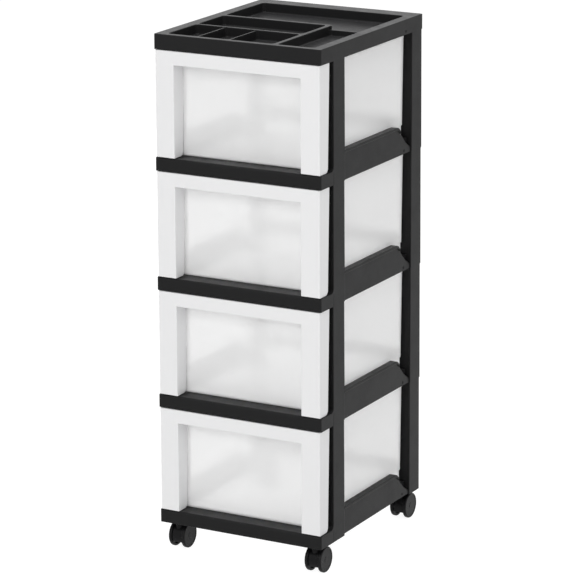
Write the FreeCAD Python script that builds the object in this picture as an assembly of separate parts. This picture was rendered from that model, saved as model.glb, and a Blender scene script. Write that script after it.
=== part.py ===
import FreeCAD, Part
import math
import os
from FreeCAD import Vector

# Overall sizes of the tower, in millimetres
tower_width = 306.0
tower_depth = 362.0
tier_count = 4
tier_pitch = 201.9
top_height = 25.4
caster_height = 50.0

# Walls and clearances of the black mouldings
frame_wall = 2.5
rib_wall = 2.0
cut_overrun = 1.0
corner_radius = 2.5

# Front strip of a stacking frame
strip_depth = 44.0
strip_height = 22.5
strip_edge_radius = 5.0
strip_bay_count = 6
strip_rib_drop = 3.0

# Side rails and rear rail
rail_height = 50.0
rail_recess = 2.0
rail_roof = 3.0
rail_edge_radius = 1.2
rail_bead_height = 4.5
rail_bead_radius = 0.9
rail_bead_setback = 78.0
rail_top_radius = 4.0
rail_shoulder_setback = 86.0
rail_shoulder_radius = 14.0
rail_bend_setback = 55.0
rail_bend_height = 19.0
rail_bend_radius = 20.0
rail_heel_height = 9.0
base_rail_lift = 2.0
snap_dot_radius = 2.6
snap_dot_depth = 0.9
snap_dot_pip_radius = 1.3
snap_dot_setback = 63.0
snap_dot_height = 5.5
rear_rail_back_gap = 2.0
rear_rail_depth = 14.0
rear_rail_underside = 29.0
rear_rail_top = 48.0

# Ledges that carry a drawer
ledge_reach = 15.0
ledge_gusset_height = 12.0
ledge_gusset_count = 5
bin_side_clearance = 1.0

# Posts of a stacking frame
front_post_length = 40.0
front_post_depth = 12.0
front_post_fillet = 8.0
rear_post_length = 39.0
rear_post_front_depth = 22.0
rear_post_back_depth = 18.0
rear_plug_depth = 16.0
post_taper = 0.8
post_edge_radius = 1.2
plug_height = 12.0
plug_clearance = 0.3
plug_end_gap = 0.5
plug_chamfer = 1.5

# Organizer tray
tray_depth = 16.5
tray_wall = 2.2
tray_left_rim = 20.0
tray_right_rim = 18.0
tray_front_rim = 11.0
tray_back_rim = 33.0
tray_row_wall = 6.0
tray_spine = 8.0
tray_thin_wall = 2.2
tray_thin_wall_drop = 1.0
tray_low_wall = 4.0
tray_low_wall_drop = 6.3
tray_low_wall_setback = 8.0
tray_front_row_length = 92.0
tray_middle_row_length = 84.0
tray_column_width = 66.0
tray_first_width = 53.0
tray_second_width = 56.0
tray_corner_radius = 6.0
tray_spine_radius = 6.0
tray_cove_radius = 2.5
tray_edge_flare = 0.7
rim_edge_radius = 1.2

# Drawer front
front_side_clearance = 2.4
front_gap = 0.9
front_wall = 2.2
front_depth = 33.4
front_bar_height = 23.0
front_leg_width = 34.0
front_taper = 5.0
front_heel_radius = 8.0
front_edge_radius = 1.5
window_edge_radius = 0.8
front_rib = 1.5
front_rib_depth = 22.0
front_rib_count = 4
window_recess = 31.0
peg_boss_radius = 4.0
peg_radius = 2.4
peg_length = 6.0
peg_clearance = 0.2
peg_inset = 11.5
peg_low_height = 48.0
peg_middle_height = 118.0
peg_top_drop = 12.5

# Drawer bin
bin_wall = 1.8
bin_length = 291.0
bin_top_gap = 5.9
bin_floor_clearance = 0.3
bin_shoulder_inset = 1.5
bin_shoulder_height = 21.5
bin_shoulder_rise = 1.5
bin_side_draft = 1.0
bin_back_draft = 2.4
bin_back_radius = 6.0
bin_front_radius = 3.0
bin_bottom_radius = 2.5
bin_rim_lip = 0.4
bin_rim_height = 3.0

# Casters
wheel_diameter = 44.0
wheel_width = 6.0
wheel_gap = 18.5
wheel_edge_radius = 2.0
wheel_face_recess = 0.5
wheel_rim_width = 3.4
wheel_hub_radius = 7.0
wheel_cap_radius = 5.0
wheel_cap_rise = 0.4
wheel_web = 2.5
wheel_cover = 2.0
caster_trail = 9.0
caster_side_inset = 23.0
caster_end_inset = 25.0
hood_radius = 20.5
hood_clearance = 0.4
hood_edge_radius = 1.2
hood_front_height = 12.5
hood_back_height = 25.0
hood_hub_radius = 6.0
hood_boss_radius = 6.8
hood_wall = 1.8
axle_radius = 2.5
axle_end_gap = 0.3
running_clearance = 0.05
stem_radius = 3.5
stem_insert = 17.0
stem_depth = 16.0
stem_collar_radius = 6.5
stem_collar_height = 1.0
stem_groove_depth = 0.6
stem_groove_width = 2.0
stem_groove_drop = 5.0
stem_tip_chamfer = 1.0
socket_boss_radius = 8.5
socket_end_gap = 0.5
socket_box_width = 36.0

# Whole turn of a revolve, in degrees
full_turn = 360.0

# Places worked out from the sizes above
half_width = tower_width / 2
half_depth = tower_depth / 2
top_underside = caster_height + tier_count * tier_pitch
strip_back = strip_depth - half_depth
post_inner = half_width - front_post_depth
front_post_back = strip_back + front_post_length
rear_post_front = half_depth - rear_post_length
rail_outer = half_width - rail_recess
ledge_inner = post_inner - ledge_reach
bin_half_width = post_inner - bin_side_clearance
bin_front = window_recess - half_depth
caster_x = half_width - caster_side_inset
caster_y = half_depth - caster_end_inset
wheel_radius = wheel_diameter / 2
bin_underside = strip_height + bin_floor_clearance
bin_top = tier_pitch - bin_top_gap
front_underside = strip_height + front_gap
front_top = tier_pitch - front_gap
front_half_width = half_width - front_side_clearance
window_half_width = front_half_width - front_leg_width
window_top = front_top - front_bar_height
socket_top = plug_height + plug_end_gap


def block(x_low, x_high, y_low, y_high, z_low, z_high):
    """Box between two corners."""
    corner = Vector(x_low, y_low, z_low)
    return Part.makeBox(x_high - x_low, y_high - y_low, z_high - z_low, corner)


def in_plan(u, v, level):
    """Point of a horizontal outline at a height."""
    return Vector(u, v, level)


def in_side(u, v, level):
    """Point of an outline drawn in Y and Z, at a place along X."""
    return Vector(level, u, v)


def outline(corners, level, place=in_plan):
    """Closed wire through corners (u, v, radius), each rounded by its own arc."""
    ends = []
    for index, (u, v, radius) in enumerate(corners):
        corner = Vector(u, v, 0)
        before = Vector(*corners[index - 1][:2], 0) - corner
        after = Vector(*corners[(index + 1) % len(corners)][:2], 0) - corner
        if radius == 0:
            ends.append((corner, None, corner))
            continue
        before.normalize()
        after.normalize()
        half_turn = before.getAngle(after) / 2
        reach = radius / math.tan(half_turn)
        middle = before + after
        middle.normalize()
        sagitta = radius / math.sin(half_turn) - radius
        ends.append((corner + before * reach, corner + middle * sagitta, corner + after * reach))
    edges = []
    for index, (start, crown, finish) in enumerate(ends):
        following = ends[(index + 1) % len(ends)][0]
        finish_point = place(finish.x, finish.y, level)
        following_point = place(following.x, following.y, level)
        if crown is not None:
            start_point = place(start.x, start.y, level)
            crown_point = place(crown.x, crown.y, level)
            edges.append(Part.Arc(start_point, crown_point, finish_point).toShape())
        edges.append(Part.LineSegment(finish_point, following_point).toShape())
    return Part.Wire(edges)


def rectangle(x_low, x_high, y_low, y_high, front_radius=0, back_radius=0):
    """Corners of a rectangle with one radius at its front and one at its back."""
    front = [(x_low, y_low, front_radius), (x_high, y_low, front_radius)]
    back = [(x_high, y_high, back_radius), (x_low, y_high, back_radius)]
    return front + back


def prism(corners, low, high, place=in_plan):
    """Outline pushed from one level to another."""
    travel = place(0, 0, high) - place(0, 0, low)
    return Part.Face(outline(corners, low, place)).extrude(travel)


def stack(sections):
    """Solid with straight sides through outlines given as (corners, level)."""
    wires = [outline(corners, level) for corners, level in sections]
    return Part.makeLoft(wires, True, True)


def tapered(foot, head):
    """Solid between two level rectangles (x_low, x_high, y_low, y_high, z)."""
    rings = []
    for x_low, x_high, y_low, y_high, z in (foot, head):
        ring = [Vector(x_low, y_low, z), Vector(x_high, y_low, z)]
        rings.append(ring + [Vector(x_high, y_high, z), Vector(x_low, y_high, z)])
    low, high = rings
    loops = [low[::-1], high]
    for index in range(len(low)):
        following = (index + 1) % len(low)
        loops.append([low[index], low[following], high[following], high[index]])
    faces = [Part.Face(Part.makePolygon(loop + loop[:1])) for loop in loops]
    return Part.Solid(Part.Shell(faces))


def turned(profile, centre, axis):
    """Solid turned from (radius, height) corners about an axis through a centre."""
    solid = Part.Face(outline(profile, 0, lambda u, v, level: Vector(u, 0, v)))
    solid = solid.revolve(Vector(0, 0, 0), Vector(0, 0, 1), full_turn)
    solid.Placement = FreeCAD.Placement(centre, FreeCAD.Rotation(Vector(0, 0, 1), axis))
    return solid


def mirrored(shape):
    """Copy on the other side of the tower's middle plane."""
    return shape.mirror(Vector(0, 0, 0), Vector(1, 0, 0))


def both_sides(shape):
    """The shape and its mirror image."""
    return [shape, mirrored(shape)]


def joined(shapes):
    """One solid out of overlapping pieces."""
    return shapes[0].multiFuse(shapes[1:]).removeSplitter()


def less(shape, cutters):
    """Shape with the cutters taken away."""
    return shape.cut(cutters).removeSplitter()


def places(low, high, count):
    """Even places between two ends, ends left out."""
    return [low + (high - low) * (index + 1) / (count + 1) for index in range(count)]


def strip():
    """Front strip, open below, with cross ribs."""
    side = [
        (-half_depth, 0, rail_edge_radius),
        (strip_back, 0, 0),
        (strip_back, strip_height, 0),
        (-half_depth, strip_height, strip_edge_radius),
    ]
    outside = prism(side, -half_width, half_width, in_side)
    plan = rectangle(-half_width, half_width, -half_depth, strip_back, corner_radius)
    outside = outside.common(prism(plan, 0, strip_height))
    inside = block(
        frame_wall - half_width, half_width - frame_wall,
        frame_wall - half_depth, strip_back - frame_wall,
        -cut_overrun, strip_height - frame_wall,
    )
    ribs = []
    for x in places(-half_width, half_width, strip_bay_count - 1):
        ribs.append(block(
            x - rib_wall / 2, x + rib_wall / 2,
            -half_depth + frame_wall / 2, strip_back - frame_wall / 2,
            strip_rib_drop, strip_height - frame_wall / 2,
        ))
    return joined([outside.cut(inside)] + ribs)


def rail_side(low, drop):
    """Side outline of a rail: level top, sloping down to a heel at the rear post."""
    front = front_post_back - frame_wall / 2
    back = rear_post_front + frame_wall / 2
    return [
        (front, low, 0),
        (back, low, 0),
        (back, rail_heel_height - drop, 0),
        (half_depth - rail_bend_setback, rail_bend_height - drop, rail_bend_radius),
        (half_depth - rail_shoulder_setback, rail_height - drop, rail_shoulder_radius),
        (front, rail_height - drop, 0),
    ]


def snap_dot(face_x, base):
    """Round snap recess with a pip in its middle, cut into a side face."""
    centre = Vector(face_x - snap_dot_depth, half_depth - snap_dot_setback, base)
    length = snap_dot_depth + cut_overrun
    recess = Part.makeCylinder(snap_dot_radius, length, centre, Vector(1, 0, 0))
    pip = Part.makeCylinder(snap_dot_pip_radius, length, centre, Vector(1, 0, 0))
    return recess.cut(pip.common(block(
        face_x - snap_dot_depth, face_x,
        -half_depth, half_depth,
        -top_underside, top_underside,
    )))


def rail(low):
    """Right-hand side rail: hollow beam with a bead along its level top edge."""
    beam = prism(rail_side(low, 0), post_inner, rail_outer, in_side)
    side_edges = [edge for edge in beam.Edges if edge.BoundBox.XMin > rail_outer - rail_top_radius]
    top_edges = [edge for edge in side_edges if edge.BoundBox.ZMin > low + rail_heel_height / 2]
    beam = beam.makeFillet(rail_top_radius, top_edges)
    hollow = prism(
        rail_side(low - cut_overrun, rail_roof),
        post_inner + frame_wall, rail_outer - frame_wall, in_side,
    )
    bead = prism(rail_side(low, 0), rail_outer - rail_top_radius, half_width, in_side)
    under_bead = prism(
        rail_side(low - cut_overrun, rail_bead_height),
        rail_outer - rail_top_radius - cut_overrun, half_width + cut_overrun, in_side,
    )
    level_part = block(
        post_inner, half_width,
        -half_depth, half_depth - rail_bead_setback,
        0, rail_height,
    )
    bead = bead.cut(under_bead).common(level_part)
    crest = [edge for edge in bead.Edges if edge.BoundBox.XMin > half_width - rail_bead_radius]
    behind_front = [edge for edge in crest if edge.BoundBox.YMax > 0]
    bead = bead.makeFillet(rail_bead_radius, behind_front)
    whole = joined([beam.cut(hollow), bead])
    return less(whole, [snap_dot(rail_outer, low + snap_dot_height)])


def ledge():
    """Right-hand ledge that carries a drawer, with its wall and gussets."""
    top = block(
        ledge_inner, post_inner + frame_wall,
        strip_back - frame_wall / 2, rear_post_front + frame_wall / 2,
        strip_height - frame_wall, strip_height,
    )
    wall = block(
        post_inner, post_inner + frame_wall,
        strip_back - frame_wall / 2, rear_post_front + frame_wall / 2,
        0, strip_height,
    )
    shapes = [top, wall]
    deck = strip_height - frame_wall / 2
    reach = [
        (post_inner + frame_wall / 2, deck - ledge_gusset_height),
        (post_inner + frame_wall / 2, deck),
        (ledge_inner + frame_wall, deck),
    ]
    for y in places(strip_back, rear_post_front, ledge_gusset_count):
        corners = [Vector(u, y - rib_wall / 2, v) for u, v in reach]
        triangle = Part.Face(Part.makePolygon(corners + corners[:1]))
        shapes.append(triangle.extrude(Vector(0, rib_wall, 0)))
    return joined(shapes)


def plug(x_low, x_high, y_low, y_high):
    """Hollow plug on top of a post, chamfered for lead-in."""
    foot = rectangle(
        x_low + plug_clearance, x_high - plug_clearance,
        y_low + plug_clearance, y_high - plug_clearance,
    )
    tip_inset = plug_clearance + plug_chamfer / 2
    tip = rectangle(x_low + tip_inset, x_high - tip_inset, y_low + tip_inset, y_high - tip_inset)
    shoulder = tier_pitch + plug_height - plug_chamfer
    root = tier_pitch - frame_wall / 2
    outside = stack([(foot, root), (foot, shoulder), (tip, tier_pitch + plug_height)])
    inside = block(
        x_low + plug_clearance + rib_wall, x_high - plug_clearance - rib_wall,
        y_low + plug_clearance + rib_wall, y_high - plug_clearance - rib_wall,
        root, tier_pitch + plug_height + cut_overrun,
    )
    return outside.cut(inside)


def front_socket():
    """Inside of the socket under a front post: X and Y ends."""
    return (
        post_inner + frame_wall, half_width - frame_wall,
        strip_back + frame_wall, front_post_back - frame_wall,
    )


def rear_socket():
    """Inside of the socket under a rear post: X and Y ends."""
    return (
        half_width - rear_plug_depth + frame_wall, half_width - frame_wall,
        rear_post_front + frame_wall, half_depth - frame_wall,
    )


def front_post():
    """Right-hand front post: channel open to the inside, capped, with its plug."""

    def plan(draw_in):
        return [
            (post_inner, strip_back, 0),
            (half_width - draw_in, strip_back, post_edge_radius),
            (half_width - draw_in, front_post_back - draw_in, post_edge_radius),
            (post_inner, front_post_back - draw_in, 0),
        ]

    outside = stack([(plan(0), 0), (plan(post_taper), tier_pitch)])
    x_low, x_high, y_low, y_high = front_socket()
    open_side = post_inner - cut_overrun
    foot = rectangle(open_side, x_high, y_low, y_high)
    head = rectangle(open_side, x_high - post_taper, y_low, y_high - post_taper)
    channel = stack([(foot, socket_top + frame_wall), (head, tier_pitch - frame_wall)])
    corner = block(
        post_inner, half_width,
        strip_back - front_post_fillet, strip_back + frame_wall / 2,
        strip_height - frame_wall / 2, strip_height + front_post_fillet,
    )
    sweep = Part.makeCylinder(
        front_post_fillet, front_post_depth + 2 * cut_overrun,
        Vector(post_inner - cut_overrun, strip_back - front_post_fillet, strip_height + front_post_fillet),
        Vector(1, 0, 0),
    )
    return joined([outside.cut(channel), corner.cut(sweep), plug(*front_socket())])


def rear_post():
    """Right-hand rear post: deeper channel open to the inside, capped, with its plug."""
    front_edge = half_width - rear_post_front_depth
    back_edge = half_width - rear_post_back_depth

    def plan(draw_in):
        return [
            (front_edge, rear_post_front + draw_in, 0),
            (half_width - draw_in, rear_post_front + draw_in, post_edge_radius),
            (half_width - draw_in, half_depth - draw_in, corner_radius),
            (back_edge, half_depth - draw_in, 0),
        ]

    outside = stack([(plan(0), 0), (plan(post_taper), tier_pitch)])
    x_low, x_high, y_low, y_high = rear_socket()
    open_side = min(front_edge, back_edge) - cut_overrun
    foot = rectangle(open_side, x_high, y_low, y_high)
    head = rectangle(open_side, x_high - post_taper, y_low + post_taper, y_high - post_taper)
    channel = stack([(foot, socket_top + frame_wall), (head, tier_pitch - frame_wall)])
    foot_channel = block(
        open_side, x_low - frame_wall,
        y_low, y_high,
        -cut_overrun, socket_top + frame_wall,
    )
    return joined([outside.cut([channel, foot_channel]), plug(*rear_socket())])


def rear_rail():
    """Cross rail between the rear posts, open below."""
    back = half_depth - rear_rail_back_gap
    front = back - rear_rail_depth
    reach = half_width - frame_wall / 2
    outside = block(-reach, reach, front, back, rear_rail_underside, rear_rail_top)
    inside = block(
        -reach, reach,
        front + frame_wall, back - frame_wall,
        rear_rail_underside - cut_overrun, rear_rail_top - frame_wall,
    )
    return outside.cut(inside)


def socket_cut(ends, top):
    """Pocket cut up into a frame or a top from its underside."""
    x_low, x_high, y_low, y_high = ends
    return block(x_low, x_high, y_low, y_high, -cut_overrun, top)


def caster_socket(y):
    """Right-hand boss that takes a caster's stem."""
    boss = Part.makeCylinder(socket_boss_radius, strip_height, Vector(caster_x, y, 0))
    hole = Part.makeCylinder(
        stem_radius + running_clearance, stem_insert + socket_end_gap + cut_overrun,
        Vector(caster_x, y, -cut_overrun),
    )
    return boss, hole


def caster_box():
    """Right-hand rear corner box of the base, open below, round a caster's boss."""
    inner_side = half_width - socket_box_width
    outside = block(
        inner_side, half_width - frame_wall / 2,
        rear_post_front, half_depth - frame_wall / 2,
        0, strip_height,
    )
    inside = block(
        inner_side + frame_wall, half_width - frame_wall,
        rear_post_front + frame_wall, half_depth - frame_wall,
        -cut_overrun, strip_height - frame_wall,
    )
    return outside.cut(inside)


def stacking_frame(rail_low):
    """Frame of one tier, without the sockets in its underside."""
    shapes = [strip(), rear_rail()]
    for side in (rail(rail_low), ledge(), front_post(), rear_post()):
        shapes.extend(both_sides(side))
    return joined(shapes)


def shelf_frame():
    """Frame that stacks on the posts of the frame below."""
    cuts = []
    for ends in (front_socket(), rear_socket()):
        cuts.extend(both_sides(socket_cut(ends, socket_top)))
    return less(stacking_frame(0), cuts)


def base_frame():
    """Bottom frame, with a boss for a caster's stem in each corner."""
    frame = stacking_frame(base_rail_lift)
    cuts = []
    for ends in (front_socket(), rear_socket()):
        cuts.extend(both_sides(socket_cut(ends, socket_top)))
    shapes = [less(frame, cuts)]
    holes = []
    shapes.extend(both_sides(caster_box()))
    for y in (-caster_y, caster_y):
        boss, hole = caster_socket(y)
        shapes.extend(both_sides(boss))
        holes.extend(both_sides(hole))
    return less(joined(shapes), holes)


def tray_pockets():
    """Outlines of the six tray compartments."""
    left = tray_left_rim - half_width
    right = half_width - tray_right_rim
    front = tray_front_rim - half_depth
    back = half_depth - tray_back_rim
    spine_left = right - tray_column_width - tray_spine
    spine_right = right - tray_column_width
    first_end = left + tray_first_width
    second_end = first_end + tray_thin_wall + tray_second_width
    row_end = front + tray_front_row_length
    middle_start = row_end + tray_row_wall
    middle_end = middle_start + tray_middle_row_length
    back_start = middle_end + tray_spine
    low_start = back_start - tray_low_wall_setback
    low_front = low_start - tray_low_wall
    radius = tray_corner_radius
    back_pocket = [
        (left, back_start, radius),
        (spine_right, back_start, tray_spine_radius),
        (spine_right, low_start, 0),
        (right, low_start, 0),
        (right, back, radius),
        (left, back, radius),
    ]
    return [
        rectangle(left, first_end, front, row_end, radius, radius),
        rectangle(first_end + tray_thin_wall, second_end, front, row_end, radius, radius),
        rectangle(second_end + tray_thin_wall, spine_left, front, row_end, radius, radius),
        rectangle(left, spine_left, middle_start, middle_end, radius, radius),
        rectangle(spine_right, right, front, low_front, radius, radius),
        back_pocket,
    ]


def lowered_walls():
    """Cuts that bring the thin walls and the low wall below the rim."""
    front = tray_front_rim - half_depth
    row_end = front + tray_front_row_length
    first_end = tray_left_rim - half_width + tray_first_width
    second_end = first_end + tray_thin_wall + tray_second_width
    margin = tray_corner_radius
    cuts = []
    for start in (first_end, second_end):
        cuts.append(block(
            start - margin, start + tray_thin_wall + margin,
            front, row_end,
            top_height - tray_thin_wall_drop, top_height + cut_overrun,
        ))
    right = half_width - tray_right_rim
    back_start = row_end + tray_row_wall + tray_middle_row_length + tray_spine
    low_start = back_start - tray_low_wall_setback
    cuts.append(block(
        right - tray_column_width, right,
        low_start - tray_low_wall - margin, low_start + margin,
        top_height - tray_low_wall_drop, top_height + cut_overrun,
    ))
    return cuts


def organizer_top():
    """Top frame with the six tray compartments, hollow below, socketed for the posts."""
    plan = rectangle(-half_width, half_width, -half_depth, half_depth, corner_radius, corner_radius)
    outside = prism(plan, 0, top_height)
    upper = [edge for edge in outside.Edges if edge.BoundBox.ZMin > top_height - rim_edge_radius]
    outside = outside.makeFillet(rim_edge_radius, upper)
    floor = top_height - tray_depth
    flare_low = top_height - tray_edge_flare
    pockets = []
    cups = []
    for corners in tray_pockets():
        mouth = Part.Face(outline(corners, flare_low))
        wide_mouth = mouth.makeOffset2D(tray_edge_flare)
        wide_mouth.translate(Vector(0, 0, tray_edge_flare))
        pockets.append(Part.makeLoft([mouth.OuterWire, wide_mouth.Wires[0]], True, True))
        pocket = prism(corners, floor, top_height + cut_overrun)
        lower = [edge for edge in pocket.Edges if edge.BoundBox.ZMax < floor + tray_wall]
        pockets.append(pocket.makeFillet(tray_cove_radius, lower))
        face = Part.Face(outline(corners, floor - tray_wall))
        grown = face.makeOffset2D(tray_wall)
        cups.append(grown.extrude(Vector(0, 0, top_height)))
    hollow = block(
        frame_wall - half_width, half_width - frame_wall,
        frame_wall - half_depth, half_depth - frame_wall,
        -cut_overrun, top_height - tray_wall,
    )
    sockets = []
    socket_cuts = []
    for ends in (front_socket(), rear_socket()):
        x_low, x_high, y_low, y_high = ends
        housing = block(
            x_low - frame_wall, half_width - frame_wall / 2,
            y_low - frame_wall, y_high + frame_wall / 2,
            0, socket_top + frame_wall,
        )
        sockets.extend(both_sides(housing))
        socket_cuts.extend(both_sides(socket_cut(ends, socket_top)))
    shell = joined([outside.cut(hollow.cut(cups))] + sockets)
    dots = both_sides(snap_dot(half_width, snap_dot_height))
    return less(shell, pockets + lowered_walls() + socket_cuts + dots)


def peg_places():
    """X and Z of the pegs that hold a front to its bin."""
    side = window_half_width + peg_inset
    top = front_top - peg_top_drop
    spots = [(0, top)]
    for height in (peg_low_height, peg_middle_height, top):
        spots.append((side, height))
        spots.append((-side, height))
    return spots


def drawer_front():
    """White front: upside-down U round the window, hollow behind, with ribs and pegs."""
    back = front_depth - half_depth
    face_inside = front_wall - half_depth
    side = [
        (-half_depth, front_underside, 0),
        (back - front_taper, front_underside, front_heel_radius),
        (back, front_top, front_edge_radius),
        (-half_depth, front_top, 0),
    ]
    outside = prism(side, -front_half_width, front_half_width, in_side)
    face_edges = [edge for edge in outside.Edges if edge.BoundBox.YMax < face_inside]
    outside = outside.makeFillet(front_edge_radius, face_edges)
    inner = front_half_width - front_wall
    hollow = block(
        -inner, inner,
        face_inside, back + cut_overrun,
        front_underside + front_wall, front_top - front_wall,
    )
    returns = block(
        -window_half_width - front_wall, window_half_width + front_wall,
        face_inside, bin_front,
        front_underside, window_top + front_wall,
    )
    window = block(
        -window_half_width, window_half_width,
        -half_depth - cut_overrun, back + cut_overrun,
        front_underside - cut_overrun, window_top,
    )
    shell = outside.cut(hollow.cut(returns)).cut(window)
    reach = window_half_width + window_edge_radius
    face_edges = [edge for edge in shell.Edges if edge.BoundBox.YMax < -half_depth + window_edge_radius / 2]
    frame_edges = [edge for edge in face_edges if max(-edge.BoundBox.XMin, edge.BoundBox.XMax) < reach]
    shapes = [shell.makeFillet(window_edge_radius, frame_edges)]
    rib_back = face_inside + front_rib_depth
    heights = places(front_underside, window_top, front_rib_count)
    for z in heights:
        leg_rib = block(
            window_half_width + front_wall / 2, inner + front_wall / 2,
            face_inside - front_wall / 2, rib_back,
            z - front_rib / 2, z + front_rib / 2,
        )
        shapes.extend(both_sides(leg_rib))
    for x in places(-window_half_width, window_half_width, front_rib_count):
        shapes.append(block(
            x - front_rib / 2, x + front_rib / 2,
            face_inside - front_wall / 2, rib_back,
            window_top + front_wall / 2, front_top - front_wall / 2,
        ))
    backward = Vector(0, 1, 0)
    for x, z in peg_places():
        start = Vector(x, face_inside - front_wall / 2, z)
        boss_length = bin_front - start.y
        shapes.append(Part.makeCylinder(peg_boss_radius, boss_length, start, backward))
        shapes.append(Part.makeCylinder(peg_radius, boss_length + peg_length, start, backward))
    return joined(shapes)


def bin_level(inset, level, front):
    """Rectangle of a bin's drafted sides at a level, drawn in by an inset."""
    share = (bin_top - level) / (bin_top - bin_underside)
    x_half = bin_half_width - bin_rim_lip - bin_side_draft * share - inset
    back = bin_front + bin_length - bin_rim_lip - bin_back_draft * share - inset
    return (-x_half, x_half, front, back, level)


def bin_stage(wall, inset, low, high, edge_radius):
    """One stage of a bin with its upright edges rounded, and its lower ones too."""
    front = bin_front + wall
    foot = bin_level(inset + wall, low, front)
    head = bin_level(inset + wall, high, front)
    solid = tapered(foot, head)
    upright = [edge for edge in solid.Edges if edge.BoundBox.ZLength > bin_shoulder_rise]
    back_edges = [edge for edge in upright if edge.BoundBox.YMin > 0]
    solid = solid.makeFillet(bin_back_radius - inset - wall, back_edges)
    upright = [edge for edge in solid.Edges if edge.BoundBox.ZLength > bin_shoulder_rise]
    front_edges = [edge for edge in upright if edge.BoundBox.YMax < front + bin_wall]
    solid = solid.makeFillet(bin_front_radius - wall / 2, front_edges)
    lower = [edge for edge in solid.Edges if edge.BoundBox.ZMax < low + edge_radius / 2]
    return solid.makeFillet(edge_radius, lower)


def bin_solid(wall, overrun):
    """Solid of a bin drawn in by a wall: foot, shoulder and drafted sides."""
    low = bin_underside + wall
    shoulder = bin_underside + bin_shoulder_height + wall
    foot = bin_stage(wall, bin_shoulder_inset, low, shoulder + bin_wall, bin_bottom_radius)
    upper = bin_stage(wall, 0, shoulder, bin_top + overrun, bin_bottom_radius / 2)
    return joined([foot, upper])


def drawer_bin():
    """Frosted bin, open above, with holes in its front wall for the pegs."""
    rim_low = bin_top - bin_rim_height
    front = bin_front + bin_wall / 2
    rim = tapered(bin_level(-bin_rim_lip, rim_low, front), bin_level(-bin_rim_lip, bin_top, front))
    upright = [edge for edge in rim.Edges if edge.BoundBox.ZLength > bin_wall]
    back_edges = [edge for edge in upright if edge.BoundBox.YMin > 0]
    rim = rim.makeFillet(bin_back_radius + bin_rim_lip, back_edges)
    outside = joined([bin_solid(0, 0), rim])
    holes = []
    for x, z in peg_places():
        holes.append(Part.makeCylinder(
            peg_radius + peg_clearance, bin_wall + 2 * cut_overrun,
            Vector(x, bin_front - cut_overrun, z), Vector(0, 1, 0),
        ))
    return less(outside, [bin_solid(bin_wall, cut_overrun)] + holes)


def wheel(centre, outward):
    """Caster wheel: hollow on its inner face, closed and dished on its outer face."""
    rim_inner = wheel_radius - wheel_rim_width
    web_outer = wheel_width - wheel_face_recess
    web_inner = web_outer - wheel_web
    bore = axle_radius + running_clearance
    bore_end = wheel_width - wheel_cover
    profile = [
        (bore, 0, 0),
        (wheel_hub_radius, 0, 0),
        (wheel_hub_radius, web_inner, 0),
        (rim_inner, web_inner, 0),
        (rim_inner, 0, 0),
        (wheel_radius, 0, wheel_edge_radius / 2),
        (wheel_radius, wheel_width, wheel_edge_radius),
        (rim_inner, wheel_width, 0),
        (rim_inner - wheel_face_recess, web_outer, 0),
        (wheel_cap_radius + wheel_cap_rise, web_outer, 0),
        (wheel_cap_radius, web_outer + wheel_cap_rise, 0),
        (0, web_outer + wheel_cap_rise, 0),
        (0, bore_end, 0),
        (bore, bore_end, 0),
    ]
    return turned(profile, centre, outward)


def caster_hood(x, y):
    """Barrel between the two wheels, with the boss that the stem goes into."""
    axle_y = y + caster_trail
    axis = Vector(1, 0, 0)
    half = wheel_gap / 2 - hood_clearance
    hood_top = caster_height - stem_collar_height
    start = Vector(x - half, axle_y, wheel_radius)
    barrel = turned([
        (0, 0, 0),
        (hood_radius, 0, hood_edge_radius),
        (hood_radius, 2 * half, hood_edge_radius),
        (0, 2 * half, 0),
    ], start, axis)
    low = block(x - half, x + half, axle_y - hood_radius, axle_y, 0, hood_front_height)
    low_back = block(x - half, x + half, axle_y, axle_y + hood_radius, 0, hood_back_height)
    hub = Part.makeCylinder(hood_hub_radius, 2 * half, start, axis)
    boss = Part.makeCylinder(hood_boss_radius, hood_top - wheel_radius, Vector(x, y, wheel_radius))
    shell = joined([barrel.cut([low, low_back]), hub, boss])
    inner_half = half - hood_wall
    pocket_start = Vector(x - inner_half, axle_y, wheel_radius)
    pocket = Part.makeCylinder(hood_radius - hood_wall, 2 * inner_half, pocket_start, axis)
    stem_wall = Part.makeCylinder(stem_collar_radius, caster_height, Vector(x, y, 0))
    bore = Part.makeCylinder(
        axle_radius + running_clearance, 2 * half + 2 * cut_overrun,
        Vector(x - half - cut_overrun, axle_y, wheel_radius), axis,
    )
    stem_hole = Part.makeCylinder(
        stem_radius + running_clearance, stem_depth + cut_overrun,
        Vector(x, y, caster_height - stem_collar_height - stem_depth),
    )
    return less(shell, [pocket.cut([stem_wall, hub]), bore, stem_hole])


def caster_axle(x, y):
    """Steel pin through both wheels and the hood."""
    half = wheel_gap / 2 + wheel_width - wheel_cover - axle_end_gap
    start = Vector(x - half, y + caster_trail, wheel_radius)
    return Part.makeCylinder(axle_radius, 2 * half, start, Vector(1, 0, 0))


def caster_stem(x, y):
    """Steel stem: grooved pin above a collar, with the swivel pin below it."""
    collar = stem_collar_height
    groove_top = stem_insert - stem_groove_drop
    groove_low = groove_top - stem_groove_width
    neck = stem_radius - stem_groove_depth
    profile = [
        (0, axle_end_gap - collar - stem_depth, 0),
        (stem_radius, axle_end_gap - collar - stem_depth, stem_groove_depth),
        (stem_radius, -collar, 0),
        (stem_collar_radius, -collar, 0),
        (stem_collar_radius, 0, 0),
        (stem_radius, 0, 0),
        (stem_radius, groove_low, 0),
        (neck, groove_low, 0),
        (neck, groove_top, 0),
        (stem_radius, groove_top, 0),
        (stem_radius, stem_insert - stem_tip_chamfer, 0),
        (stem_radius - stem_tip_chamfer, stem_insert, 0),
        (0, stem_insert, 0),
    ]
    return turned(profile, Vector(x, y, caster_height), Vector(0, 0, 1))


def raised(shape, height):
    """Copy of a shape moved up."""
    return shape.translated(Vector(0, 0, height))


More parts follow.
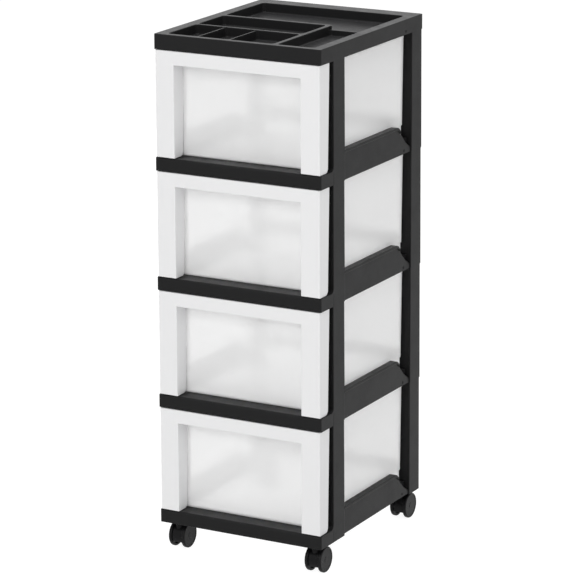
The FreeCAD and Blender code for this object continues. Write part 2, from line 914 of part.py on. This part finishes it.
def build():
    """Make every piece of the tower and write it out."""
    os.makedirs("parts", exist_ok=True)
    pieces = {"base_frame": raised(base_frame(), caster_height)}
    frame = shelf_frame()
    front = drawer_front()
    bin_shape = drawer_bin()
    for tier in range(tier_count):
        height = caster_height + tier * tier_pitch
        if tier > 0:
            pieces["shelf_frame_%d" % tier] = raised(frame, height)
        pieces["drawer_front_%d" % (tier + 1)] = raised(front, height)
        pieces["drawer_bin_%d" % (tier + 1)] = raised(bin_shape, height)
    pieces["organizer_top"] = raised(organizer_top(), top_underside)
    wheel_offset = wheel_gap / 2
    for side, x in (("left", -caster_x), ("right", caster_x)):
        outward = Vector(math.copysign(1, x), 0, 0)
        for end, y in (("front", -caster_y), ("rear", caster_y)):
            name = "%s_%s" % (end, side)
            hub = Vector(x, y + caster_trail, wheel_radius)
            pieces["caster_stem_" + name] = caster_stem(x, y)
            pieces["caster_hood_" + name] = caster_hood(x, y)
            pieces["caster_axle_" + name] = caster_axle(x, y)
            pieces["wheel_outer_" + name] = wheel(hub + outward * wheel_offset, outward)
            pieces["wheel_inner_" + name] = wheel(hub - outward * wheel_offset, outward * -1)
    for name, shape in pieces.items():
        solid = shape.Solids[0]
        print(name, len(shape.Solids), round(solid.Volume), solid.isValid())
        solid.exportStep("parts/%s.step" % name)


build()
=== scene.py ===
import bpy
import math
from bpy.props import FloatProperty, FloatVectorProperty, PointerProperty
from bpy.types import Operator, Panel, PropertyGroup
from mathutils import Matrix, Vector

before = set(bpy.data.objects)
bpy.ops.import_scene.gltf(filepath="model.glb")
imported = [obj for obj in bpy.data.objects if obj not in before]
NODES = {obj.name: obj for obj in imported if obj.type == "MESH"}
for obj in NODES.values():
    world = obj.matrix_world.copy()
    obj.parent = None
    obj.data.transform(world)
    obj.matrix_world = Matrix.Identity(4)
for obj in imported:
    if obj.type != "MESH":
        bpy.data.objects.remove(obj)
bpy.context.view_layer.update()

bl_info = {
    "name": "Rolling Drawer Tower",
    "version": (1, 0, 0),
    "blender": (4, 5, 0),
    "location": "View3D > Sidebar > Drawer Tower",
    "description": "Finishes of a plastic drawer tower on casters, with its studio",
    "category": "Add Mesh",
}

CORNERS = ("front_left", "front_right", "rear_left", "rear_right")
TIERS = (1, 2, 3, 4)
CLOUD_SHADE = 0.9  # of the frosted colour, in the cloudy flow marks
PALE = (1.0, 1.0, 1.0, 1.0)
FLOOR_SIDE = 40.0
FLOOR_CUTS = 3
SENSOR_WIDTH = 36.0  # mm
SEEN_TO = 60.0  # how far the camera sees


def tint(name, words, colour):
    """Colour property of a finish."""
    return FloatVectorProperty(
        name=name, description=words, subtype="COLOR", size=3, min=0.0, max=1.0, default=colour
    )


def share(name, words, value, top=1.0):
    """Plain number from zero to a top value."""
    return FloatProperty(name=name, description=words, default=value, min=0.0, max=top, precision=3)


def length(name, words, value):
    """Length in metres."""
    return FloatProperty(
        name=name, description=words, default=value, min=0.0, subtype="DISTANCE", unit="LENGTH", precision=5
    )


def power(name, words, value):
    """Power of a lamp in watts."""
    return FloatProperty(
        name=name, description=words, default=value, min=0.0, subtype="POWER", unit="POWER"
    )


def angle(name, words, degrees):
    """Angle, kept in radians."""
    return FloatProperty(
        name=name, description=words, default=math.radians(degrees), subtype="ANGLE", unit="ROTATION"
    )


class BlackPlasticSettings(PropertyGroup):
    """Frames and tray."""
    colour: tint("Colour", "Colour of the black polypropylene", (0.0125, 0.0125, 0.0128))
    # The dust on level faces is partly real dust and partly painted sheen: it lightens the tops of the black
    # parts, where the bright surroundings would glance off them.
    dust_and_sheen_colour: tint("Dust And Sheen Colour", "Colour of the fine dust on level faces", (0.20, 0.20, 0.205))
    dust_and_sheen: share("Dust", "How much dust lies on level faces of the open tray", 0.18)
    dust_and_sheen_inside: share("Dust And Sheen Inside", "How much dust lies on level faces of the sheltered frames", 0.04)
    roughness: share("Roughness", "Roughness of the satin grain", 0.34)
    ior: share("Gloss Index", "Index of refraction that sets the gloss of the satin grain", 1.18, 2.0)
    grain_size: length("Grain Size", "Width of one grain of the moulded texture", 0.0009)
    grain_depth: length("Grain Depth", "Depth of the moulded texture", 0.00006)
    wave_depth: length("Sink Depth", "Depth of the slow waves of the moulding", 0.00015)


class WhitePlasticSettings(PropertyGroup):
    """Drawer fronts."""
    colour: tint("Colour", "Colour of the opaque white plastic", (0.80, 0.80, 0.805))
    roughness: share("Roughness", "Roughness of the smooth moulding", 0.33)
    ior: share("Gloss Index", "Index of refraction that sets the gloss of the plastic", 1.45, 2.0)
    grain_size: length("Grain Size", "Width of one grain of the moulded texture", 0.0007)
    grain_depth: length("Grain Depth", "Depth of the moulded texture", 0.00002)
    wave_depth: length("Sink Depth", "Depth of the slow waves of the moulding", 0.0002)


class FrostedPlasticSettings(PropertyGroup):
    """Drawer bins."""
    colour: tint("Colour", "Colour of the frosted polypropylene", (0.98, 0.98, 0.98))
    clearness: share("Clearness", "Share of the light that goes straight through", 0.32)
    haze: share("Haze", "How much the wall blurs what is behind it", 0.62)
    bend: share("Bend", "Index of refraction, low as a thin wall hardly shifts the view", 1.06, 2.0)
    grain_size: length("Grain Size", "Width of one grain of the moulded texture", 0.0006)
    grain_depth: length("Grain Depth", "Depth of the moulded texture", 0.00002)
    wave_depth: length("Sink Depth", "Depth of the slow waves of the moulding", 0.0001)
    flow_size: length("Flow Size", "Width of the cloudy flow marks", 0.05)
    flow: share("Flow", "How much the flow marks cloud the wall", 0.10)


class CasterSettings(PropertyGroup):
    """Casters."""
    wheel_colour: tint("Wheel Colour", "Colour of the wheels", (0.0075, 0.0075, 0.0080))
    hood_colour: tint("Hood Colour", "Colour of the hoods", (0.0060, 0.0060, 0.0065))
    steel_colour: tint("Steel Colour", "Colour of the stems and axles", (0.56, 0.56, 0.57))
    roughness: share("Roughness", "Roughness of the nylon", 0.30)
    ior: share("Gloss Index", "Index of refraction that sets the gloss of the nylon", 1.20, 2.0)
    grain_size: length("Grain Size", "Width of one grain of the moulded texture", 0.0006)
    grain_depth: length("Grain Depth", "Depth of the moulded texture", 0.00003)


class StudioSettings(PropertyGroup):
    """Floor, lights and camera."""
    floor_colour: tint("Floor Colour", "Colour of the floor", (0.93, 0.93, 0.93))
    floor_glow: share("Floor White", "How far the floor is lifted to white for the camera", 0.72)
    glow_strength: share("Floor Glow", "Strength of that white", 1.28, 4.0)
    ambient: share("Ambient", "Strength of the even light from all round", 0.40, 4.0)
    key_power: power("Key", "Power of the large front lamp", 192.0)
    fill_power: power("Fill", "Power of the side lamp", 24.0)
    top_power: power("Top", "Power of the overhead lamp", 16.0)
    back_power: power("Back", "Power of the lamp behind", 40.0)
    azimuth: angle("Azimuth", "Turn of the camera round the tower", 28.654)
    elevation: angle("Elevation", "Height angle of the camera", 15.133)
    roll: angle("Roll", "Turn of the camera about its own line of sight", -0.2)
    distance: length("Distance", "From the camera to the point it looks at", 5.418)
    target_height: length("Target Height", "Height of the point it looks at", 0.390)
    shift_right: length("Shift Right", "Sideways step of the camera", -0.0054)
    shift_up: length("Shift Up", "Upward step of the camera", 0.0416)
    lens: FloatProperty(
        name="Lens", description="Focal length", default=201.48, subtype="DISTANCE_CAMERA", unit="CAMERA"
    )


class TowerSettings(PropertyGroup):
    """All settings of the drawer tower."""
    black: PointerProperty(type=BlackPlasticSettings, name="Black Plastic", description="Frames and tray")
    white: PointerProperty(type=WhitePlasticSettings, name="White Plastic", description="Drawer fronts")
    frosted: PointerProperty(type=FrostedPlasticSettings, name="Frosted Plastic", description="Drawer bins")
    caster: PointerProperty(type=CasterSettings, name="Casters", description="Casters")
    studio: PointerProperty(type=StudioSettings, name="Studio", description="Floor, lights and camera")


class Tree:
    """Short way to add and link nodes in one node tree."""

    def __init__(self, tree):
        self.tree = tree
        self.column = 0

    def add(self, kind, values=None, **links):
        """New node of a kind, with plain values and links by socket name."""
        node = self.tree.nodes.new(kind)
        node.location = (self.column * 190, 0)
        self.column += 1
        for name, value in (values or {}).items():
            if name in node.inputs.keys():
                node.inputs[name].default_value = value
            else:
                setattr(node, name, value)
        for name, source in links.items():
            self.link(source, node.inputs[name.replace("_", " ")])
        return node

    def link(self, source, target):
        """Join an output to an input."""
        self.tree.links.new(source, target)


def new_group(name, inputs, outputs):
    """Empty shader node group with named inputs and outputs."""
    group = bpy.data.node_groups.new(name, "ShaderNodeTree")
    for label, kind, default in inputs:
        socket = group.interface.new_socket(name=label, in_out="INPUT", socket_type=kind)
        if default is not None:
            socket.default_value = default
    for label, kind in outputs:
        group.interface.new_socket(name=label, in_out="OUTPUT", socket_type=kind)
    return group


def grain_group():
    """Moulded grain: a fine height, a slow wave and a small change of roughness."""
    name = "Moulded Grain"
    if name in bpy.data.node_groups:
        return bpy.data.node_groups[name]
    group = new_group(
        name,
        [("Grain Size", "NodeSocketFloat", 0.001), ("Grain Depth", "NodeSocketFloat", 0.00005),
         ("Wave Depth", "NodeSocketFloat", 0.0), ("Roughness", "NodeSocketFloat", 0.4)],
        [("Height", "NodeSocketFloat"), ("Roughness", "NodeSocketFloat")],
    )
    tree = Tree(group)
    source = tree.add("NodeGroupInput")
    place = tree.add("ShaderNodeTexCoord").outputs["Object"]
    frequency = tree.add("ShaderNodeMath", {"operation": "DIVIDE"})
    frequency.inputs[0].default_value = 1.0
    tree.link(source.outputs["Grain Size"], frequency.inputs[1])
    fine = tree.add(
        "ShaderNodeTexNoise", {"Detail": 2.0, "Roughness": 0.6}, Vector=place, Scale=frequency.outputs[0]
    )
    slow = tree.add("ShaderNodeTexNoise", {"Scale": 9.0, "Detail": 1.0}, Vector=place)
    patches = tree.add("ShaderNodeTexNoise", {"Scale": 35.0, "Detail": 3.0, "Roughness": 0.65}, Vector=place)
    fine_height = tree.add("ShaderNodeMath", {"operation": "MULTIPLY"})
    tree.link(fine.outputs["Fac"], fine_height.inputs[0])
    tree.link(source.outputs["Grain Depth"], fine_height.inputs[1])
    slow_height = tree.add("ShaderNodeMath", {"operation": "MULTIPLY_ADD"})
    tree.link(slow.outputs["Fac"], slow_height.inputs[0])
    tree.link(source.outputs["Wave Depth"], slow_height.inputs[1])
    tree.link(fine_height.outputs[0], slow_height.inputs[2])
    spread = tree.add(
        "ShaderNodeMapRange", {"From Min": 0.3, "From Max": 0.7, "To Min": -0.05, "To Max": 0.06}
    )
    tree.link(patches.outputs["Fac"], spread.inputs["Value"])
    total = tree.add("ShaderNodeMath", {"operation": "ADD", "use_clamp": True})
    tree.link(source.outputs["Roughness"], total.inputs[0])
    tree.link(spread.outputs["Result"], total.inputs[1])
    result = tree.add("NodeGroupOutput")
    tree.link(slow_height.outputs[0], result.inputs["Height"])
    tree.link(total.outputs[0], result.inputs["Roughness"])
    return group


def dust_and_sheen_group():
    """Fine dust and painted sheen that lighten level faces and thin out on upright ones: partly real settled
    dust, partly a painted reflection of the bright surroundings on the tops.
    """
    name = "Settled Dust"
    if name in bpy.data.node_groups:
        return bpy.data.node_groups[name]
    group = new_group(
        name,
        [("Colour", "NodeSocketColor", None), ("Dust And Sheen Colour", "NodeSocketColor", None),
         ("Amount", "NodeSocketFloat", 0.2)],
        [("Colour", "NodeSocketColor")],
    )
    tree = Tree(group)
    source = tree.add("NodeGroupInput")
    place = tree.add("ShaderNodeTexCoord").outputs["Object"]
    facing = tree.add("ShaderNodeSeparateXYZ", Vector=tree.add("ShaderNodeNewGeometry").outputs["Normal"])
    # Painted sheen as well as dust: level faces are lightened most and upright ones least, as the bright
    # surroundings would glance off the tops.
    level = tree.add("ShaderNodeMapRange", {"From Min": 0.35, "From Max": 1.0, "To Min": 0.06, "To Max": 1.0})
    tree.link(facing.outputs["Z"], level.inputs["Value"])
    cloud = tree.add("ShaderNodeTexNoise", {"Scale": 22.0, "Detail": 4.0, "Roughness": 0.7}, Vector=place)
    soft = tree.add("ShaderNodeMapRange", {"From Min": 0.3, "From Max": 0.75, "To Min": 0.55, "To Max": 1.0})
    tree.link(cloud.outputs["Fac"], soft.inputs["Value"])
    dust_and_sheen_mask = tree.add("ShaderNodeMath", {"operation": "MULTIPLY"})
    tree.link(level.outputs["Result"], dust_and_sheen_mask.inputs[0])
    tree.link(soft.outputs["Result"], dust_and_sheen_mask.inputs[1])
    amount = tree.add("ShaderNodeMath", {"operation": "MULTIPLY", "use_clamp": True})
    tree.link(dust_and_sheen_mask.outputs[0], amount.inputs[0])
    tree.link(source.outputs["Amount"], amount.inputs[1])
    mix = tree.add("ShaderNodeMix", {"data_type": "RGBA"})
    tree.link(amount.outputs[0], mix.inputs[0])
    tree.link(source.outputs["Colour"], mix.inputs[6])
    tree.link(source.outputs["Dust And Sheen Colour"], mix.inputs[7])
    result = tree.add("NodeGroupOutput")
    tree.link(mix.outputs[2], result.inputs["Colour"])
    return group


def place_group(tree, group, values):
    """Group placed in a material with its own values."""
    node = tree.add("ShaderNodeGroup")
    node.node_tree = group
    for name, value in values.items():
        node.inputs[name].default_value = value
    return node


def new_material(name):
    """Empty material and its tree, with a shader joined to the output."""
    material = bpy.data.materials.new(name)
    material.use_nodes = True
    material.node_tree.nodes.clear()
    tree = Tree(material.node_tree)
    shader = tree.add("ShaderNodeBsdfPrincipled")
    output = tree.add("ShaderNodeOutputMaterial")
    tree.link(shader.outputs["BSDF"], output.inputs["Surface"])
    return material, tree, shader


def grained_plastic(
    name, colour, roughness, ior, grain_size, grain_depth, wave_depth=0.0, dust_and_sheen_colour=None, dust_and_sheen=0.0
):
    """Opaque moulded plastic with grain, slow waves, and settled dust with painted sheen that lightens level
    faces.
    """
    material, tree, shader = new_material(name)
    grain = place_group(tree, grain_group(), {
        "Grain Size": grain_size, "Grain Depth": grain_depth,
        "Wave Depth": wave_depth, "Roughness": roughness,
    })
    shade = place_group(tree, dust_and_sheen_group(), {
        "Colour": (*colour, 1.0), "Dust And Sheen Colour": (*(dust_and_sheen_colour or colour), 1.0), "Amount": dust_and_sheen,
    })
    bump = tree.add("ShaderNodeBump", {"Strength": 1.0, "Distance": 1.0}, Height=grain.outputs["Height"])
    tree.link(shade.outputs["Colour"], shader.inputs["Base Color"])
    tree.link(grain.outputs["Roughness"], shader.inputs["Roughness"])
    tree.link(bump.outputs["Normal"], shader.inputs["Normal"])
    shader.inputs["IOR"].default_value = ior
    return material


def frosted_plastic(name, settings):
    """Translucent wall: part of the light goes through and is blurred, part is scattered back."""
    material, tree, shader = new_material(name)
    place = tree.add("ShaderNodeTexCoord").outputs["Object"]
    frequency = 1.0 / settings.flow_size
    flow = tree.add(
        "ShaderNodeTexNoise", {"Scale": frequency, "Detail": 2.0, "Distortion": 0.4}, Vector=place
    )
    tone = tree.add(
        "ShaderNodeMapRange",
        {"From Min": 0.3, "From Max": 0.7, "To Min": 1.0 - settings.flow, "To Max": 1.0},
    )
    tree.link(flow.outputs["Fac"], tone.inputs["Value"])
    mix = tree.add("ShaderNodeMix", {"data_type": "RGBA"})
    tree.link(tone.outputs["Result"], mix.inputs[0])
    mix.inputs[6].default_value = tuple(part * CLOUD_SHADE for part in settings.colour) + (1.0,)
    mix.inputs[7].default_value = (*settings.colour, 1.0)
    grain = place_group(tree, grain_group(), {
        "Grain Size": settings.grain_size, "Grain Depth": settings.grain_depth,
        "Wave Depth": settings.wave_depth, "Roughness": settings.haze,
    })
    bump = tree.add("ShaderNodeBump", {"Strength": 1.0, "Distance": 1.0}, Height=grain.outputs["Height"])
    tree.link(mix.outputs[2], shader.inputs["Base Color"])
    tree.link(grain.outputs["Roughness"], shader.inputs["Roughness"])
    tree.link(bump.outputs["Normal"], shader.inputs["Normal"])
    # Each wall scatters once, where light goes in. Its far skin lets the light out.
    behind = tree.add("ShaderNodeNewGeometry").outputs["Backfacing"]
    skin = tree.add("ShaderNodeMath", {"operation": "SUBTRACT"})
    skin.inputs[0].default_value = 1.0
    tree.link(behind, skin.inputs[1])
    tree.link(skin.outputs["Value"], shader.inputs["Alpha"])
    shader.inputs["Transmission Weight"].default_value = settings.clearness
    shader.inputs["IOR"].default_value = settings.bend
    return material


def brushed_steel(name, colour):
    """Drawn steel pin with fine turned marks."""
    material, tree, shader = new_material(name)
    place = tree.add("ShaderNodeTexCoord").outputs["Object"]
    marks = tree.add("ShaderNodeTexNoise", {"Scale": 2500.0, "Detail": 2.0}, Vector=place)
    rough = tree.add("ShaderNodeMapRange", {"To Min": 0.22, "To Max": 0.38})
    tree.link(marks.outputs["Fac"], rough.inputs["Value"])
    tree.link(rough.outputs["Result"], shader.inputs["Roughness"])
    shader.inputs["Base Color"].default_value = (*colour, 1.0)
    shader.inputs["Metallic"].default_value = 1.0
    return material


def dress(names, material):
    """Give CAD nodes a material in all their slots."""
    for name in names:
        slots = NODES[name].material_slots
        if len(slots) == 0:
            NODES[name].data.materials.append(material)
        for slot in slots:
            slot.material = material


class TOWER_OT_frames(Operator):
    """Give the stacking frames and the tray top their satin black plastic"""
    bl_idname = "tower.frames"
    bl_label = "Frames and Tray"

    def execute(self, context):
        black = context.scene.drawer_tower.black
        # The dust here is also painted sheen on level faces: most on the open tray top, little on the
        # sheltered frames.
        for title, names, dust_and_sheen in (
            ("Black Polypropylene", [name for name in NODES if "frame" in name], black.dust_and_sheen_inside),
            ("Black Polypropylene With Dust And Painted Sheen", ["organizer_top"], black.dust_and_sheen),
        ):
            dress(names, grained_plastic(
                title, black.colour, black.roughness, black.ior, black.grain_size, black.grain_depth,
                black.wave_depth, black.dust_and_sheen_colour, dust_and_sheen,
            ))
        return {"FINISHED"}


class TOWER_OT_fronts(Operator):
    """Give the drawer fronts their white plastic"""
    bl_idname = "tower.fronts"
    bl_label = "Drawer Fronts"

    def execute(self, context):
        white = context.scene.drawer_tower.white
        material = grained_plastic(
            "White Plastic", white.colour, white.roughness, white.ior,
            white.grain_size, white.grain_depth, white.wave_depth,
        )
        dress(["drawer_front_%d" % tier for tier in TIERS], material)
        return {"FINISHED"}


class TOWER_OT_bins(Operator):
    """Give the drawer bins their frosted plastic"""
    bl_idname = "tower.bins"
    bl_label = "Drawer Bins"

    def execute(self, context):
        material = frosted_plastic("Frosted Plastic", context.scene.drawer_tower.frosted)
        dress(["drawer_bin_%d" % tier for tier in TIERS], material)
        return {"FINISHED"}


class TOWER_OT_casters(Operator):
    """Give the casters their nylon and steel"""
    bl_idname = "tower.casters"
    bl_label = "Casters"

    def execute(self, context):
        caster = context.scene.drawer_tower.caster
        moulding = (caster.roughness, caster.ior, caster.grain_size, caster.grain_depth)
        wheel = grained_plastic("Wheel Nylon", caster.wheel_colour, *moulding)
        hood = grained_plastic("Hood Nylon", caster.hood_colour, *moulding)
        steel = brushed_steel("Drawn Steel", caster.steel_colour)
        for corner in CORNERS:
            dress(["wheel_outer_" + corner, "wheel_inner_" + corner], wheel)
            dress(["caster_hood_" + corner], hood)
            dress(["caster_stem_" + corner, "caster_axle_" + corner], steel)
        return {"FINISHED"}


def seen_white(tree):
    """One where a camera, glossy or transmission ray looks, for a white background."""
    path = tree.add("ShaderNodeLightPath")
    first = tree.add("ShaderNodeMath", {"operation": "MAXIMUM"})
    tree.link(path.outputs["Is Camera Ray"], first.inputs[0])
    tree.link(path.outputs["Is Glossy Ray"], first.inputs[1])
    both = tree.add("ShaderNodeMath", {"operation": "MAXIMUM"})
    tree.link(first.outputs[0], both.inputs[0])
    tree.link(path.outputs["Is Transmission Ray"], both.inputs[1])
    return both.outputs[0]


class TOWER_OT_studio(Operator):
    """Build the white studio: floor, even light, lamps and camera"""
    bl_idname = "tower.studio"
    bl_label = "Studio"

    def execute(self, context):
        studio = context.scene.drawer_tower.studio
        bpy.ops.object.select_all(action="DESELECT")
        bpy.ops.mesh.primitive_plane_add(size=1.0, location=(0, 0, 0))
        floor = context.object
        floor.name = "studio_floor"
        bpy.ops.object.mode_set(mode="EDIT")
        bpy.ops.transform.resize(value=(FLOOR_SIDE, FLOOR_SIDE, 1.0))
        bpy.ops.mesh.subdivide(number_cuts=FLOOR_CUTS)
        bpy.ops.object.mode_set(mode="OBJECT")
        floor.data.materials.append(self.floor_material(studio))
        self.world(context, studio)
        for name, place, size, watts, aim_height in (
            ("key_lamp", (0.2, -6.0, 3.65), 4.0, studio.key_power, 0.45),
            ("fill_lamp", (3.15, -0.55, 1.61), 2.0, studio.fill_power, 0.45),
            ("top_lamp", (0.2, -0.2, 3.2), 2.4, studio.top_power, 0.6),
            ("back_lamp", (-2.7, 1.4, 1.6), 1.8, studio.back_power, 0.45),
        ):
            self.lamp(name, Vector(place), size, watts, aim_height)
        self.camera(context, studio)
        context.scene.view_settings.view_transform = "Standard"
        return {"FINISHED"}

    def floor_material(self, studio):
        """Matt pale floor, lifted to white where the camera sees it."""
        material, tree, shader = new_material("Studio Floor")
        place = tree.add("ShaderNodeTexCoord").outputs["Object"]
        cloud = tree.add("ShaderNodeTexNoise", {"Scale": 3.0, "Detail": 2.0}, Vector=place)
        tone = tree.add("ShaderNodeMapRange", {"To Min": 0.985, "To Max": 1.0})
        tree.link(cloud.outputs["Fac"], tone.inputs["Value"])
        mix = tree.add("ShaderNodeMix", {"data_type": "RGBA", "blend_type": "MULTIPLY"})
        mix.inputs[0].default_value = 1.0
        mix.inputs[6].default_value = (*studio.floor_colour, 1.0)
        tree.link(tone.outputs["Result"], mix.inputs[7])
        tree.link(mix.outputs[2], shader.inputs["Base Color"])
        shader.inputs["Roughness"].default_value = 0.9
        shader.inputs["Specular IOR Level"].default_value = 0.0
        glow = tree.add("ShaderNodeEmission", {"Color": PALE, "Strength": studio.glow_strength})
        lift = tree.add("ShaderNodeMath", {"operation": "MULTIPLY"})
        tree.link(seen_white(tree), lift.inputs[0])
        lift.inputs[1].default_value = studio.floor_glow
        blend = tree.add("ShaderNodeMixShader")
        tree.link(lift.outputs[0], blend.inputs[0])
        tree.link(shader.outputs["BSDF"], blend.inputs[1])
        tree.link(glow.outputs["Emission"], blend.inputs[2])
        output = [node for node in material.node_tree.nodes if node.type == "OUTPUT_MATERIAL"][0]
        tree.link(blend.outputs["Shader"], output.inputs["Surface"])
        return material

    def world(self, context, studio):
        """Even light from all round, white where the camera sees it."""
        world = bpy.data.worlds.new("Studio Light")
        world.use_nodes = True
        world.node_tree.nodes.clear()
        tree = Tree(world.node_tree)
        even = tree.add("ShaderNodeBackground", {"Color": PALE, "Strength": studio.ambient})
        white = tree.add("ShaderNodeBackground", {"Color": PALE, "Strength": 1.0})
        blend = tree.add("ShaderNodeMixShader")
        tree.link(seen_white(tree), blend.inputs[0])
        tree.link(even.outputs["Background"], blend.inputs[1])
        tree.link(white.outputs["Background"], blend.inputs[2])
        output = tree.add("ShaderNodeOutputWorld")
        tree.link(blend.outputs["Shader"], output.inputs["Surface"])
        context.scene.world = world

    def lamp(self, name, place, size, watts, aim_height):
        """Square lamp that faces the middle of the tower at a height."""
        turn = (Vector((0, 0, aim_height)) - place).to_track_quat("-Z", "Y").to_euler()
        bpy.ops.object.light_add(type="AREA", location=place, rotation=turn)
        lamp = bpy.context.object
        lamp.name = name
        lamp.data.energy = watts
        lamp.data.size = size

    def camera(self, context, studio):
        """Camera at the photograph's viewing angle."""
        az, el, roll = studio.azimuth, studio.elevation, studio.roll
        back = Vector((math.sin(az) * math.cos(el), -math.cos(az) * math.cos(el), math.sin(el)))
        level = Vector((0, 0, 1)).cross(back).normalized()
        upright = back.cross(level)
        right = level * math.cos(roll) + upright * math.sin(roll)
        up = upright * math.cos(roll) - level * math.sin(roll)
        target = Vector((0, 0, studio.target_height))
        place = target + right * studio.shift_right + up * studio.shift_up + back * studio.distance
        turn = Matrix((right, up, back)).transposed().to_euler()
        bpy.ops.object.camera_add(location=place, rotation=turn)
        camera = context.object
        camera.name = "photo_camera"
        camera.data.lens = studio.lens
        camera.data.sensor_width = SENSOR_WIDTH
        camera.data.clip_end = SEEN_TO
        context.scene.camera = camera


OPERATORS = (TOWER_OT_frames, TOWER_OT_fronts, TOWER_OT_bins, TOWER_OT_casters, TOWER_OT_studio)


class TOWER_PT_sidebar(Panel):
    """Panel of the drawer tower"""
    bl_idname = "TOWER_PT_sidebar"
    bl_label = "Drawer Tower"
    bl_space_type = "VIEW_3D"
    bl_region_type = "UI"
    bl_category = "Drawer Tower"

    def draw(self, context):
        settings = context.scene.drawer_tower
        for operator in OPERATORS:
            self.layout.operator(operator.bl_idname)
        for part in ("black", "white", "frosted", "caster", "studio"):
            box = self.layout.box()
            group = getattr(settings, part)
            for name in group.__annotations__:
                box.prop(group, name)


CLASSES = (
    BlackPlasticSettings, WhitePlasticSettings, FrostedPlasticSettings, CasterSettings, StudioSettings,
    TowerSettings,
) + OPERATORS + (TOWER_PT_sidebar,)


def register():
    for each in CLASSES:
        bpy.utils.register_class(each)
    bpy.types.Scene.drawer_tower = PointerProperty(type=TowerSettings)


def unregister():
    del bpy.types.Scene.drawer_tower
    for each in reversed(CLASSES):
        bpy.utils.unregister_class(each)


def main():
    """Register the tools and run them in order."""
    register()
    bpy.ops.tower.frames()
    bpy.ops.tower.fronts()
    bpy.ops.tower.bins()
    bpy.ops.tower.casters()
    bpy.ops.tower.studio()


if __name__ == "__main__":
    main()
